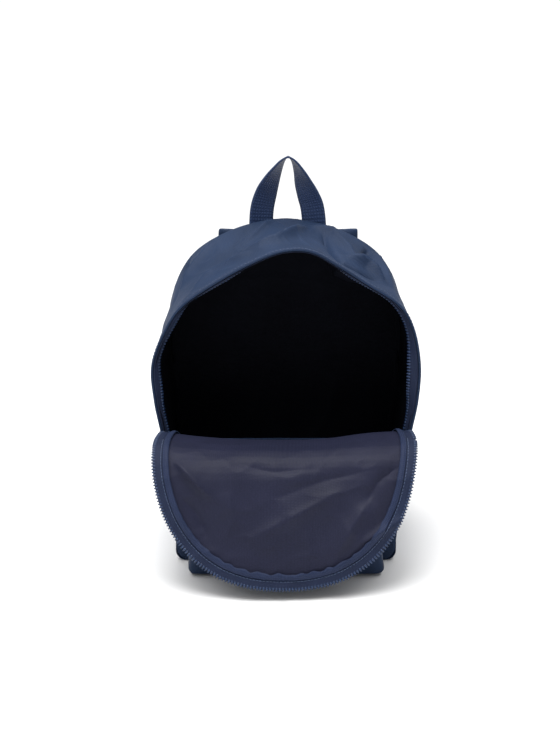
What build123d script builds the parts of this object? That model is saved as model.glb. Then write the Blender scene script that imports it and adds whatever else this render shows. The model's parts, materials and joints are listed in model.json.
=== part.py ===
"""Arch-top school backpack, standing on its base with the main zip open and the front flap folded down.

Frame: millimetres, +Z up, the front faces -Y, +X is on the right of someone who looks at the front, and the
origin is the centre of the base's underside. Each soft piece is a plain closed solid of its real size.
"""

from build123d import *

import os
from math import cos, pi, radians, sin

# ---- body ---------------------------------------------------------------------------------------------
body_depth = 150.0  # back seam to front rim
front_y = -body_depth / 2
back_y = body_depth / 2
wall = 2.4  # coated outer fabric with its seam allowance
lining_t = 1.0
gap = 0.4  # clearance between sewn layers
foam_t = 7.0  # back padding
binding_w, binding_t = 5.0, 3.2  # bound seam inside the bag

# Half outline of the arch at the back seam and at the front rim.
back_arch = {"base": 130, "waist": 145, "waist_z": 215, "shoulder": 116, "shoulder_z": 332, "crown": 379}
front_arch = {"base": 130, "waist": 153, "waist_z": 238, "shoulder": 108, "shoulder_z": 316, "crown": 372}
base_corner = 20.0
base_height = 24.0  # how far the base fabric turns up

# ---- zips ---------------------------------------------------------------------------------------------
tape_w, tape_t = 9.0, 1.4
teeth_w, teeth_t = 4.0, 3.0
slider_w, slider_l, slider_t = 12.0, 16.0, 1.6  # each of a slider's two plates
pull_w, pull_l, pull_t = 8.0, 26.0, 1.8

# ---- front flap ---------------------------------------------------------------------------------------
fold_z = 152.0  # the line between the two ends of the main zip, where the front folds
fold_y = front_y - 7.5  # middle of the flap's thickness when it is shut
fold_half = 144.0  # half width at the fold
flap_half = 148.0  # half width at the crease
root_length = 60.0  # the stretch that lies out over the front pocket
flap_length = 150.0  # from the crease to the tip
root_droop = 4.0  # degrees below level
flap_droop = 71.1  # degrees below level
hinge_gap = 2.0  # bare cloth each side of a fold
flap_layer = 1.7  # thickness of the panel, and of its lining

# ---- front pocket -------------------------------------------------------------------------------------
pocket_half, pocket_top, pocket_depth = 113.0, 126.0, 51.0
pocket_round = 14.0
pocket_zip_z, pocket_zip_half = 104.0, 96.0

# ---- handle, yoke and shoulder straps -----------------------------------------------------------------
webbing_w, webbing_t = 30.0, 2.4
handle_half, handle_rise = 32.0, 76.0  # from the middle to each leg, and the height of the loop
handle_z = 381.0
handle_y = back_y + wall + 0.3 + webbing_t / 2
yoke_half, yoke_low, yoke_high, yoke_t = 86.0, 318.0, 366.0, 9.6
strap_w, strap_t = 60.0, 11.0
strap_splay = radians(12)  # outward slant of each strap
strap_x, strap_z = 54.0, 316.0  # middle of the seam under the yoke
strap_length = 176.0
cover_t = 1.2
narrow_w, narrow_t = 25.0, 1.6  # adjuster webbing

os.makedirs("parts", exist_ok=True)


def arch_face(y, inset):
    """The closed outline of the bag at depth y, drawn in by inset."""
    share = (y - front_y) / body_depth
    arch = {k: front_arch[k] + (back_arch[k] - front_arch[k]) * share for k in front_arch}
    foot = arch["base"] - base_corner
    side = arch["base"] - inset
    with BuildSketch(Plane.XZ.offset(-y)) as sketch:
        with BuildLine():
            Line((0, inset), (foot, inset))
            RadiusArc((foot, inset), (side, base_corner), inset - base_corner)
            Spline((side, base_corner), (arch["waist"] - inset, arch["waist_z"]), tangents=[(0, 1), (0, 1)])
            Spline(
                (arch["waist"] - inset, arch["waist_z"]),
                (arch["shoulder"] - 0.75 * inset, arch["shoulder_z"] - 0.75 * inset),
                (0, arch["crown"] - inset),
                tangents=[(0, 1), (-1, 0)],
            )
            mirror(about=Plane.YZ)
        make_face()
    return sketch.sketch


def arch_pair(y0, y1, inset):
    """The outlines at two depths, ready to loft."""
    return [arch_face(y0, inset), arch_face(y1, inset)]


# ---- gusset and base: one band round the bag from the back seam to the rim, cut where the base cloth ends
with BuildPart() as side_gusset:
    loft(sections=arch_pair(front_y, back_y, 0), ruled=True)
    loft(sections=arch_pair(front_y, back_y, wall), ruled=True, mode=Mode.SUBTRACT)
    split(bisect_by=Plane.XY.offset(base_height), keep=Keep.TOP)
side_gusset.part.label = "side_gusset"
export_step(side_gusset.part, "parts/side_gusset.step")

with BuildPart() as base_panel:
    loft(sections=arch_pair(front_y, back_y, 0), ruled=True)
    loft(sections=arch_pair(front_y, back_y, wall), ruled=True, mode=Mode.SUBTRACT)
    split(bisect_by=Plane.XY.offset(base_height), keep=Keep.BOTTOM)
base_panel.part.label = "base_panel"
export_step(base_panel.part, "parts/base_panel.step")

# ---- back: outer panel, foam and lining ---------------------------------------------------------------
with BuildPart() as back_panel:
    loft(sections=arch_pair(back_y, back_y + wall, 0), ruled=True)
back_panel.part.label = "back_panel"
export_step(back_panel.part, "parts/back_panel.step")

back_inset = wall + 0.6
foam_back = back_y - gap
foam_front = foam_back - foam_t
with BuildPart() as back_foam:
    loft(sections=arch_pair(foam_front, foam_back, back_inset), ruled=True)
back_foam.part.label = "back_foam"
export_step(back_foam.part, "parts/back_foam.step")

back_lining_y = foam_front - gap - lining_t
with BuildPart() as back_lining:
    loft(sections=arch_pair(back_lining_y, back_lining_y + lining_t, back_inset), ruled=True)
back_lining.part.label = "back_lining"
export_step(back_lining.part, "parts/back_lining.step")

# ---- lining of the gusset, and the bound seams at its two edges ---------------------------------------
lining_inset = wall + gap
seam_inset = lining_inset + lining_t + gap
lining_back = back_lining_y - gap
with BuildPart() as body_lining:
    loft(sections=arch_pair(front_y + gap, lining_back, lining_inset), ruled=True)
    inner_face = arch_pair(front_y + gap, lining_back, lining_inset + lining_t)
    loft(sections=inner_face, ruled=True, mode=Mode.SUBTRACT)
body_lining.part.label = "body_lining"
export_step(body_lining.part, "parts/body_lining.step")

with BuildPart() as back_seam_binding:
    loft(sections=arch_pair(lining_back - binding_w, lining_back, seam_inset), ruled=True)
    loft(
        sections=arch_pair(lining_back - binding_w, lining_back, seam_inset + binding_t),
        ruled=True,
        mode=Mode.SUBTRACT,
    )
back_seam_binding.part.label = "back_seam_binding"
export_step(back_seam_binding.part, "parts/back_seam_binding.step")

# ---- lower front, which stays up below the fold -------------------------------------------------------
with BuildPart() as lower_front_panel:
    loft(sections=arch_pair(front_y - wall, front_y, 0), ruled=True)
    split(bisect_by=Plane.XY.offset(fold_z - hinge_gap), keep=Keep.BOTTOM)
lower_front_panel.part.label = "lower_front_panel"
export_step(lower_front_panel.part, "parts/lower_front_panel.step")

front_lining_y = front_y + gap
with BuildPart() as lower_front_lining:
    loft(sections=arch_pair(front_lining_y, front_lining_y + lining_t, seam_inset), ruled=True)
    split(bisect_by=Plane.XY.offset(fold_z - hinge_gap), keep=Keep.BOTTOM)
lower_front_lining.part.label = "lower_front_lining"
export_step(lower_front_lining.part, "parts/lower_front_lining.step")

front_binding_y = front_lining_y + lining_t + gap
with BuildPart() as front_seam_binding:
    loft(sections=arch_pair(front_binding_y, front_binding_y + binding_w, seam_inset), ruled=True)
    loft(
        sections=arch_pair(front_binding_y, front_binding_y + binding_w, seam_inset + binding_t),
        ruled=True,
        mode=Mode.SUBTRACT,
    )
    split(bisect_by=Plane.XY.offset(fold_z - hinge_gap), keep=Keep.BOTTOM)
front_seam_binding.part.label = "front_seam_binding"
export_step(front_seam_binding.part, "parts/front_seam_binding.step")

# ---- the rim's half of the main zip: a tape turned inwards, and its row of teeth ----------------------
rim_tape_inset = 1.0
rim_teeth_inset = rim_tape_inset + tape_w + 3
with BuildPart() as rim_zip_tape:
    loft(sections=arch_pair(front_y - tape_t, front_y, rim_tape_inset), ruled=True)
    loft(sections=arch_pair(front_y - tape_t, front_y, rim_teeth_inset), ruled=True, mode=Mode.SUBTRACT)
    split(bisect_by=Plane.XY.offset(fold_z), keep=Keep.TOP)
rim_zip_tape.part.label = "rim_zip_tape"
export_step(rim_zip_tape.part, "parts/rim_zip_tape.step")

rim_teeth_y = front_y - (tape_t + teeth_t) / 2
with BuildPart() as rim_zip_teeth:
    loft(sections=arch_pair(rim_teeth_y, rim_teeth_y + teeth_t, rim_teeth_inset), ruled=True)
    loft(
        sections=arch_pair(rim_teeth_y, rim_teeth_y + teeth_t, rim_teeth_inset + teeth_w),
        ruled=True,
        mode=Mode.SUBTRACT,
    )
    split(bisect_by=Plane.XY.offset(fold_z), keep=Keep.TOP)
rim_zip_teeth.part.label = "rim_zip_teeth"
export_step(rim_zip_teeth.part, "parts/rim_zip_teeth.step")


# ---- front flap ---------------------------------------------------------------------------------------
def flap_plane(y, z, droop):
    """A plane across the bag: its Y runs out and down along the cloth, and its Z is the cloth's outer side."""
    a = radians(droop)
    return Plane(origin=(0, y, z), x_dir=(1, 0, 0), z_dir=(0, sin(a), -cos(a)))


root_plane = flap_plane(fold_y, fold_z, root_droop)
crease_y = fold_y - root_length * cos(radians(root_droop))
crease_z = fold_z - root_length * sin(radians(root_droop))
main_plane = flap_plane(crease_y, crease_z, flap_droop)


def root_face(level, inset):
    """The root's outline at a level over its middle plane, with its side edges drawn in by inset."""
    with BuildSketch(root_plane.offset(level)) as sketch:
        with BuildLine():
            Polyline(
                (0, hinge_gap),
                (fold_half - inset, hinge_gap),
                (flap_half - inset, root_length - hinge_gap),
                (0, root_length - hinge_gap),
            )
            mirror(about=Plane.YZ)
        make_face()
    return sketch.sketch


def dome_face(level, inset):
    """The arched flap's outline at a level over its middle plane, with its curved edge drawn in by inset."""
    with BuildSketch(main_plane.offset(level)) as sketch:
        with BuildLine():
            Line((0, hinge_gap), (flap_half - inset, hinge_gap))
            Spline(
                (flap_half - inset, hinge_gap),
                (flap_half - 12 - inset, 0.4 * flap_length),
                (0.69 * flap_half - 0.75 * inset, 0.8 * flap_length - 0.7 * inset),
                (0, flap_length - inset),
                tangents=[(-0.04, 1), (-1, 0)],
            )
            mirror(about=Plane.YZ)
        make_face()
    return sketch.sketch


tape_inset = teeth_w
panel_inset = tape_inset + tape_w
edge_binding_w, edge_binding_t = 8.0, 1.1
edge_binding_inset = panel_inset - 1
sewn = 0.05  # a hair between two layers of one seam
edge_binding_level = -sewn - flap_layer - sewn - edge_binding_t

for body, outline in (("flap_root", root_face), ("flap", dome_face)):
    with BuildPart() as flap_panel:
        extrude(outline(sewn, panel_inset), amount=flap_layer)
    flap_panel.part.label = f"{body}_panel"
    export_step(flap_panel.part, f"parts/{body}_panel.step")

    with BuildPart() as flap_lining:
        extrude(outline(-sewn - flap_layer, panel_inset), amount=flap_layer)
    flap_lining.part.label = f"{body}_lining"
    export_step(flap_lining.part, f"parts/{body}_lining.step")

    with BuildPart() as flap_binding:
        extrude(outline(edge_binding_level, edge_binding_inset), amount=edge_binding_t)
        extrude(
            outline(edge_binding_level, edge_binding_inset + edge_binding_w),
            amount=edge_binding_t,
            mode=Mode.SUBTRACT,
        )
    flap_binding.part.label = f"{body}_seam_binding"
    export_step(flap_binding.part, f"parts/{body}_seam_binding.step")

    with BuildPart() as flap_tape:
        extrude(outline(-tape_t / 2, tape_inset), amount=tape_t)
        extrude(outline(-tape_t / 2, panel_inset - sewn), amount=tape_t, mode=Mode.SUBTRACT)
    flap_tape.part.label = f"{body}_zip_tape"
    export_step(flap_tape.part, f"parts/{body}_zip_tape.step")

    with BuildPart() as flap_teeth:
        extrude(outline(-teeth_t / 2, 0), amount=teeth_t)
        extrude(outline(-teeth_t / 2, teeth_w - sewn), amount=teeth_t, mode=Mode.SUBTRACT)
    flap_teeth.part.label = f"{body}_zip_teeth"
    export_step(flap_teeth.part, f"parts/{body}_zip_teeth.step")

# ---- front pocket: a gusseted pocket sewn to the lower front, with a zip across it --------------------
pocket_back = front_y - wall - 0.1
pocket_front = pocket_back - pocket_depth
slot_half = 7.0  # half height of the gap that the pocket's zip fills
with BuildPart() as pocket_panel:
    with BuildSketch(Plane.XZ.offset(-pocket_back)):
        with Locations((0, pocket_top / 2)):
            RectangleRounded(2 * pocket_half, pocket_top, pocket_round)
    extrude(amount=pocket_depth)
    fillet(pocket_panel.faces().sort_by(Axis.Y)[0].edges(), radius=pocket_round - 2)
    offset(amount=-wall, openings=pocket_panel.faces().sort_by(Axis.Y)[-1])
    with BuildSketch(Plane.XZ.offset(-pocket_front - wall - 1)):
        with Locations((0, pocket_zip_z)):
            Rectangle(2 * pocket_zip_half, 2 * slot_half)
    extrude(amount=wall + 2, mode=Mode.SUBTRACT)
pocket_panel.part.label = "pocket_panel"
export_step(pocket_panel.part, "parts/pocket_panel.step")

# ---- the closed stretches of zip: across the pocket, and below each end of the fold -------------------
row_gap = 1.3  # from the chain's middle to a row of teeth, room for the post inside a slider
row_w = 2.6
pocket_chain_y = pocket_front + wall / 2
with BuildPart() as pocket_zip_tape:
    with BuildSketch(Plane.XZ.offset(-pocket_chain_y - tape_t / 2)):
        with Locations((0, pocket_zip_z + slot_half - 1.6), (0, pocket_zip_z - slot_half + 1.6)):
            Rectangle(2 * pocket_zip_half - 0.2, 3.0)
    extrude(amount=tape_t)
pocket_zip_tape.part.label = "pocket_zip_tape"
export_step(pocket_zip_tape.part, "parts/pocket_zip_tape.step")

with BuildPart() as pocket_zip_teeth:
    with BuildSketch(Plane.XZ.offset(-pocket_chain_y - teeth_t / 2)):
        row = row_gap + row_w / 2
        with Locations((0, pocket_zip_z + row), (0, pocket_zip_z - row)):
            Rectangle(2 * pocket_zip_half - 0.2, row_w)
    extrude(amount=teeth_t)
pocket_zip_teeth.part.label = "pocket_zip_teeth"
export_step(pocket_zip_teeth.part, "parts/pocket_zip_teeth.step")

leg_x = 131.0  # middle of each closed stretch of the main zip
leg_low, leg_high = 98.0, 148.0
leg_y = front_y - wall - 3.6
leg_middle = (leg_low + leg_high) / 2
leg_tape_w = 7.0
tape_off = row_gap + row_w + 0.1 + leg_tape_w / 2
row_off = row_gap + row_w / 2
with BuildPart() as zip_leg_tape:
    with BuildSketch(Plane.XZ.offset(-leg_y - tape_t / 2)):
        for x in (-leg_x - tape_off, -leg_x + tape_off, leg_x - tape_off, leg_x + tape_off):
            with Locations((x, leg_middle)):
                Rectangle(leg_tape_w, leg_high - leg_low)
    extrude(amount=tape_t)
zip_leg_tape.part.label = "zip_leg_tape"
export_step(zip_leg_tape.part, "parts/zip_leg_tape.step")

with BuildPart() as zip_leg_teeth:
    with BuildSketch(Plane.XZ.offset(-leg_y - teeth_t / 2)):
        for x in (-leg_x - row_off, -leg_x + row_off, leg_x - row_off, leg_x + row_off):
            with Locations((x, leg_middle)):
                Rectangle(row_w, leg_high - leg_low)
    extrude(amount=teeth_t)
zip_leg_teeth.part.label = "zip_leg_teeth"
export_step(zip_leg_teeth.part, "parts/zip_leg_teeth.step")

with BuildPart() as zip_end_tabs:
    with BuildSketch(Plane.XZ.offset(-front_y + wall + 0.1)):
        with Locations((-leg_x, leg_low - 7), (leg_x, leg_low - 7)):
            RectangleRounded(20, 13, 2)
    extrude(amount=4.4)
zip_end_tabs.part.label = "zip_end_tabs"
export_step(zip_end_tabs.part, "parts/zip_end_tabs.step")


# ---- sliders and pulls --------------------------------------------------------------------------------
plate_gap = teeth_t / 2 + 0.3
crown_t, crown_l, pin_r = 3.6, 9.0, 1.0
stud_l = 2.6  # the pocket slider's stud, which its pull turns on


def slider_plane(x, y, z, along):
    """A plane on the chain's middle, facing out of the bag, whose Y runs the way the slider closes the zip."""
    return Plane(origin=(x, y, z), x_dir=Vector(*along).cross(Vector(0, -1, 0)), z_dir=(0, -1, 0))


main_slider_z = leg_low + 26
sliders = {
    "left": slider_plane(-leg_x, leg_y, main_slider_z, (0, 0, 1)),
    "right": slider_plane(leg_x, leg_y, main_slider_z, (0, 0, 1)),
    "pocket": slider_plane(pocket_zip_half - 14, pocket_chain_y, pocket_zip_z, (1, 0, 0)),
}
pin_level = plate_gap + slider_t + crown_t / 2
for place, plane in sliders.items():
    with BuildPart() as slider:
        for level in (plate_gap, -plate_gap - slider_t):
            with BuildSketch(plane.offset(level)):
                RectangleRounded(slider_w, slider_l, 2.5)
            extrude(amount=slider_t)
        with BuildSketch(plane.offset(-plate_gap)):
            with Locations((0, slider_l / 2 - 3)):
                Rectangle(2 * row_gap - 0.6, 4)
        extrude(amount=2 * plate_gap)
        with BuildSketch(plane.offset(plate_gap + slider_t)):
            Rectangle(3.2, crown_l)
        extrude(amount=crown_t)
        if place == "pocket":
            with BuildSketch(plane.offset(plate_gap + slider_t + crown_t)):
                Circle(pin_r + 0.2)
            extrude(amount=stud_l)
        else:
            with BuildSketch(Plane(origin=plane.offset(pin_level).origin, z_dir=plane.x_dir)):
                Circle(pin_r + 0.2)
            extrude(amount=3, both=True, mode=Mode.SUBTRACT)
    slider.part.label = f"{place}_slider"
    export_step(slider.part, f"parts/{place}_slider.step")

for side in (-1, 1):
    place = "left" if side < 0 else "right"
    pin_y = leg_y - pin_level
    with BuildPart() as pull:
        with BuildSketch(Plane.XZ.offset(-pin_y - pull_t / 2)):
            with Locations((side * leg_x, main_slider_z - crown_l / 2 - 1 - pull_l / 2)):
                RectangleRounded(pull_w, pull_l, 2.5)
            with Locations(
                (side * leg_x - 3.1, main_slider_z - 3),
                (side * leg_x + 3.1, main_slider_z - 3),
            ):
                Rectangle(1.8, 8.8)
        extrude(amount=pull_t)
        with BuildSketch(Plane(origin=(side * leg_x, pin_y, main_slider_z), z_dir=(1, 0, 0))):
            Circle(pin_r)
        extrude(amount=3.1, both=True)
    pull.part.label = f"{place}_pull"
    export_step(pull.part, f"parts/{place}_pull.step")

pocket_slider_x = pocket_zip_half - 14
pocket_pin_y = pocket_chain_y - pin_level - crown_t / 2
with BuildPart() as pocket_pull:
    with BuildSketch(Plane.XZ.offset(-pocket_pin_y + 0.3)):
        with Locations((pocket_slider_x, pocket_zip_z + 4 - pull_l / 2)):
            RectangleRounded(pull_w, pull_l, 2.5)
        with Locations((pocket_slider_x, pocket_zip_z)):
            Circle(pin_r + 0.4, mode=Mode.SUBTRACT)
    extrude(amount=pull_t)
pocket_pull.part.label = "pocket_pull"
export_step(pocket_pull.part, "parts/pocket_pull.step")

# ---- grab handle: webbing that stands up from the back seam, turned edge-on at its top ----------------
handle_sections = []
section_count = 12
for step in range(section_count + 1):
    t = pi * (0.02 + 0.96 * step / section_count)
    middle = Vector(-handle_half * cos(t), handle_y, handle_z - 3 + handle_rise * sin(t))
    along = Vector(handle_half * sin(t), 0, handle_rise * cos(t)).normalized()
    turn = -pi / 2 * cos(t) ** 2
    across = Vector(0, 1, 0) * cos(turn) + along.cross(Vector(0, 1, 0)) * sin(turn)
    with BuildSketch(Plane(origin=middle, x_dir=across, z_dir=along)) as section:
        Rectangle(webbing_w, webbing_t)
    handle_sections.append(section.sketch)
with BuildPart() as grab_handle:
    loft(sections=handle_sections, ruled=True)
grab_handle.part.label = "grab_handle"
export_step(grab_handle.part, "parts/grab_handle.step")

with BuildPart() as handle_ends:
    with BuildSketch(Plane.XZ.offset(-handle_y - webbing_t / 2)):
        with Locations((-handle_half, handle_z - 21), (handle_half, handle_z - 21)):
            Rectangle(webbing_w, 38)
    extrude(amount=webbing_t)
handle_ends.part.label = "handle_ends"
export_step(handle_ends.part, "parts/handle_ends.step")

# ---- padded yoke across the top of the back, which the straps are sewn to -----------------------------
yoke_y = handle_y + webbing_t / 2 + 0.3
with BuildPart() as strap_yoke:
    with BuildSketch(Plane.XZ.offset(-yoke_y)):
        with Locations((0, (yoke_low + yoke_high) / 2)):
            RectangleRounded(2 * yoke_half, yoke_high - yoke_low, 8)
    extrude(amount=-yoke_t)
    fillet(strap_yoke.faces().sort_by(Axis.Y)[-1].edges(), radius=3)
strap_yoke.part.label = "strap_yoke"
export_step(strap_yoke.part, "parts/strap_yoke.step")


# ---- shoulder straps: padded strap, webbing on its face, ladder lock, lower webbing and its anchor ----
strap_start = 10.0
strap_lift = 24.0  # how far the strap bows away from the back


def strap_profile(side, trim):
    """The strap's curved side view, drawn in by trim, on the plane that runs down the middle of the strap."""
    plane = Plane(
        origin=(side * strap_x, yoke_y, strap_z),
        x_dir=(0, 1, 0),
        z_dir=(-cos(strap_splay), 0, -side * sin(strap_splay)),
    )
    middle = (strap_start + strap_length) / 2
    near, far = trim, strap_t - trim
    with BuildSketch(plane) as sketch:
        with BuildLine():
            Line((near, strap_start + trim), (far, strap_start + trim))
            ThreePointArc(
                (far, strap_start + trim), (far + strap_lift, middle), (far + 16, strap_length - trim)
            )
            Line((far + 16, strap_length - trim), (near + 16, strap_length - trim))
            ThreePointArc(
                (near + 16, strap_length - trim), (near + strap_lift, middle), (near, strap_start + trim)
            )
        make_face()
    return sketch.sketch


def strap_face_plane(side, y):
    """A plane facing the back of the bag, whose Y runs up the strap from the seam under the yoke."""
    return Plane(
        origin=(side * strap_x, y, strap_z),
        x_dir=(cos(strap_splay), 0, side * sin(strap_splay)),
        z_dir=(0, -1, 0),
    )


lock_y = yoke_y + 16 + strap_t / 2  # middle of the ladder lock's thickness
lock_w, lock_l, lock_t = 38.0, 26.0, 5.0
lock_s = strap_length + 8 + lock_l / 2  # how far down the strap line its middle is
anchor_y = back_y + wall + 0.3
anchor_t = 2.4

for side in (-1, 1):
    place = "left" if side < 0 else "right"
    with BuildPart() as strap_cover:
        extrude(strap_profile(side, 0), amount=strap_w / 2, both=True)
        extrude(strap_profile(side, cover_t), amount=strap_w / 2 - cover_t, both=True, mode=Mode.SUBTRACT)
    strap_cover.part.label = f"{place}_strap_cover"
    export_step(strap_cover.part, f"parts/{place}_strap_cover.step")

    with BuildPart() as strap_foam:
        extrude(strap_profile(side, cover_t + 0.2), amount=strap_w / 2 - cover_t - 0.2, both=True)
    strap_foam.part.label = f"{place}_strap_foam"
    export_step(strap_foam.part, f"parts/{place}_strap_foam.step")

    with BuildPart() as strap_end_loop:
        with BuildSketch(strap_face_plane(side, lock_y - narrow_t / 2)):
            with Locations((0, -strap_length - 3.6)):
                Rectangle(narrow_w, 6.4)
        extrude(amount=-narrow_t)
    strap_end_loop.part.label = f"{place}_strap_end_loop"
    export_step(strap_end_loop.part, f"parts/{place}_strap_end_loop.step")

    with BuildPart() as ladder_lock:
        with BuildSketch(strap_face_plane(side, lock_y - lock_t / 2)):
            with Locations((0, -lock_s)):
                RectangleRounded(lock_w, lock_l, 3)
            with Locations((0, -lock_s + 7), (0, -lock_s - 1), (0, -lock_s - 8)):
                Rectangle(narrow_w + 2, 4, mode=Mode.SUBTRACT)
        extrude(amount=-lock_t)
    ladder_lock.part.label = f"{place}_ladder_lock"
    export_step(ladder_lock.part, f"parts/{place}_ladder_lock.step")

    with BuildPart() as webbing_tail:
        with BuildSketch(strap_face_plane(side, lock_y + lock_t / 2 + 0.3)):
            with Locations((0, -lock_s - 40)):
                Rectangle(narrow_w, 84)
        extrude(amount=-narrow_t)
    webbing_tail.part.label = f"{place}_webbing_tail"
    export_step(webbing_tail.part, f"parts/{place}_webbing_tail.step")

    lock_end = lock_s + lock_l / 2 + 1.5
    top_x = strap_x + lock_end * sin(strap_splay)
    top = Vector(side * top_x, lock_y, strap_z - lock_end * cos(strap_splay))
    foot = Vector(side * 118, anchor_y + anchor_t + 2, 34)
    run = top - foot
    with BuildPart() as lower_webbing:
        with BuildSketch(Plane(origin=foot, x_dir=(run.Z, 0, -run.X), z_dir=run)):
            Rectangle(narrow_w, narrow_t)
        extrude(amount=run.length)
    lower_webbing.part.label = f"{place}_lower_webbing"
    export_step(lower_webbing.part, f"parts/{place}_lower_webbing.step")

    with BuildPart() as strap_anchor:
        with BuildSketch(Plane.XZ.offset(-anchor_y)):
            with BuildLine():
                Polyline((side * 96, 12), (side * 118, 8), (side * 130, 30), (side * 108, 46), close=True)
            make_face()
        extrude(amount=-anchor_t)
    strap_anchor.part.label = f"{place}_strap_anchor"
    export_step(strap_anchor.part, f"parts/{place}_strap_anchor.step")

# ---- places the joints use ----------------------------------------------------------------------------
print("fold", fold_y, fold_z, "crease", crease_y, crease_z)
print("handle", handle_y, handle_z, "yoke", yoke_y, "strap", yoke_y + strap_t / 2, strap_z)
print("lock", lock_y, strap_z - (strap_length + 4) * cos(strap_splay), "x", strap_x + lock_s * sin(strap_splay))
print("slider", leg_x, leg_y, main_slider_z, "pin", leg_y - pin_level)
print("pocket slider", pocket_slider_x, pocket_chain_y, pocket_zip_z, "pull", pocket_pin_y)
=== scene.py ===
import json
from math import asin, cos, exp, hypot, pi, radians, sin

import bmesh
import bpy
from mathutils import Matrix, Vector, noise

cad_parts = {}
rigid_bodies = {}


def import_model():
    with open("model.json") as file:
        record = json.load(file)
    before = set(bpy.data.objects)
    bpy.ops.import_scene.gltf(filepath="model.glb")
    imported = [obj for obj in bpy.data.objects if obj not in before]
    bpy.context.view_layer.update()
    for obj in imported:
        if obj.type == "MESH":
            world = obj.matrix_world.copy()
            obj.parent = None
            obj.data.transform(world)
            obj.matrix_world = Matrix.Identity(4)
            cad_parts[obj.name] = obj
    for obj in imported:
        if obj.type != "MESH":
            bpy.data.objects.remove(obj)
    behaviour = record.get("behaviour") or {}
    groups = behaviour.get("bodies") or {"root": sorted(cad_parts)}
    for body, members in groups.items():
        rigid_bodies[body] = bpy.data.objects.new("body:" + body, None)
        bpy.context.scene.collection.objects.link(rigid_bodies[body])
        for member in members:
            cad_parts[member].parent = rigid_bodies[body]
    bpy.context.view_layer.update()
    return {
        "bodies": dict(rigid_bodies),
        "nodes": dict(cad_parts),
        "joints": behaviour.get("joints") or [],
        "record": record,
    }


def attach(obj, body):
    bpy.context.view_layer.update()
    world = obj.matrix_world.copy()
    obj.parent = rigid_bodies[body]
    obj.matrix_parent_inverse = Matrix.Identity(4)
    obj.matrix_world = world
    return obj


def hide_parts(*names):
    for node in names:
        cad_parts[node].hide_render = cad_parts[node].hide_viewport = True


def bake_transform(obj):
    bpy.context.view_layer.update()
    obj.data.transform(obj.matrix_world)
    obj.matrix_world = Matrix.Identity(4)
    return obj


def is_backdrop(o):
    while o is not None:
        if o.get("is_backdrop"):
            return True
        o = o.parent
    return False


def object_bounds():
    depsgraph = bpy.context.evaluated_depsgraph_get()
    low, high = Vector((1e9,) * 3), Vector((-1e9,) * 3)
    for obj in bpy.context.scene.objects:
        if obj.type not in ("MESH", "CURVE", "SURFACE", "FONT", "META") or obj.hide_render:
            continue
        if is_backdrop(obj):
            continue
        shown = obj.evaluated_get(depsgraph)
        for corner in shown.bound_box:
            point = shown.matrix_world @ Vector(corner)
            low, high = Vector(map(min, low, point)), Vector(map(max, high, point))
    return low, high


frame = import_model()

# ----------------------------------------------------------------------
# Studio. White background paper, a large softbox overhead, a weaker one at the front left, and white walls
# that send soft light back from all round.
# ----------------------------------------------------------------------


def softbox(name, place, aim, size, watts):
    """A square lamp at a place, in metres, that points at aim."""
    data = bpy.data.lights.new(name, "AREA")
    data.shape = "SQUARE"
    data.size = size
    data.energy = watts
    lamp = bpy.data.objects.new(name, data)
    lamp.location = place
    lamp.rotation_euler = (Vector(aim) - Vector(place)).to_track_quat("-Z", "Y").to_euler()
    bpy.context.scene.collection.objects.link(lamp)


def keep_mesh(bm, name):
    """Makes the bmesh an object in the scene and returns it."""
    mesh = bpy.data.meshes.new(name)
    bm.to_mesh(mesh)
    bm.free()
    piece = bpy.data.objects.new(name, mesh)
    bpy.context.scene.collection.objects.link(piece)
    return piece


def linear(code):
    """An sRGB hex colour as the linear colour that a shader wants."""
    parts = [int(code[k:k + 2], 16) / 255 for k in (1, 3, 5)]
    return tuple(c / 12.92 if c <= 0.04045 else ((c + 0.055) / 1.055) ** 2.4 for c in parts) + (1.0,)


paper_bm = bmesh.new()
bmesh.ops.create_grid(paper_bm, x_segments=1, y_segments=1, size=90)
paper = keep_mesh(paper_bm, "floor")
paper_material = bpy.data.materials.new("matt white background paper")
paper_material.use_nodes = True
paper_material.node_tree.nodes["Principled BSDF"].inputs["Base Color"].default_value = linear("#fbfbfb")
paper_material.node_tree.nodes["Principled BSDF"].inputs["Roughness"].default_value = 0.9
paper.data.materials.append(paper_material)
paper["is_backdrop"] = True

softbox("overhead softbox", (-0.15, -0.4, 1.6), (0, 0, 0.15), 0.8, 16)
softbox("left softbox", (-1.1, -1.2, 1.5), (0, 0, 0.25), 0.8, 3)
ceiling = bpy.data.lights.new("white ceiling", "SUN")
ceiling.energy = 2.5
ceiling.angle = radians(75)
ceiling_lamp = bpy.data.objects.new("white ceiling", ceiling)
ceiling_lamp.rotation_euler = (radians(-4), radians(-2), 0)
bpy.context.scene.collection.objects.link(ceiling_lamp)
world = bpy.data.worlds.new("white studio")
world.use_nodes = True
world.node_tree.nodes["Background"].inputs["Color"].default_value = (1, 1, 1, 1)
world.node_tree.nodes["Background"].inputs["Strength"].default_value = 0.36
bpy.context.scene.world = world
bpy.context.scene.view_settings.view_transform = "Standard"

lens = bpy.data.cameras.new("camera")
lens.lens = 63.5
lens.sensor_width = 36
camera = bpy.data.objects.new("camera", lens)
camera.location = (-0.007, -1.5, 0.665)
camera.rotation_euler = (radians(90 - 17), 0, 0)
bpy.context.scene.collection.objects.link(camera)
bpy.context.scene.camera = camera

# ----------------------------------------------------------------------
# Gusset: the band of 600 denier polyester over the top and down both sides. It is sewn to the back panel,
# and its front edge is turned in and topstitched where the zip goes. Empty and undone, its top has slumped.
# Sizes here and below are millimetres until a piece is finished.
# ----------------------------------------------------------------------
DEPTH = 150.0
FRONT = -DEPTH / 2
BASE_TOP = 24.0

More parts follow.
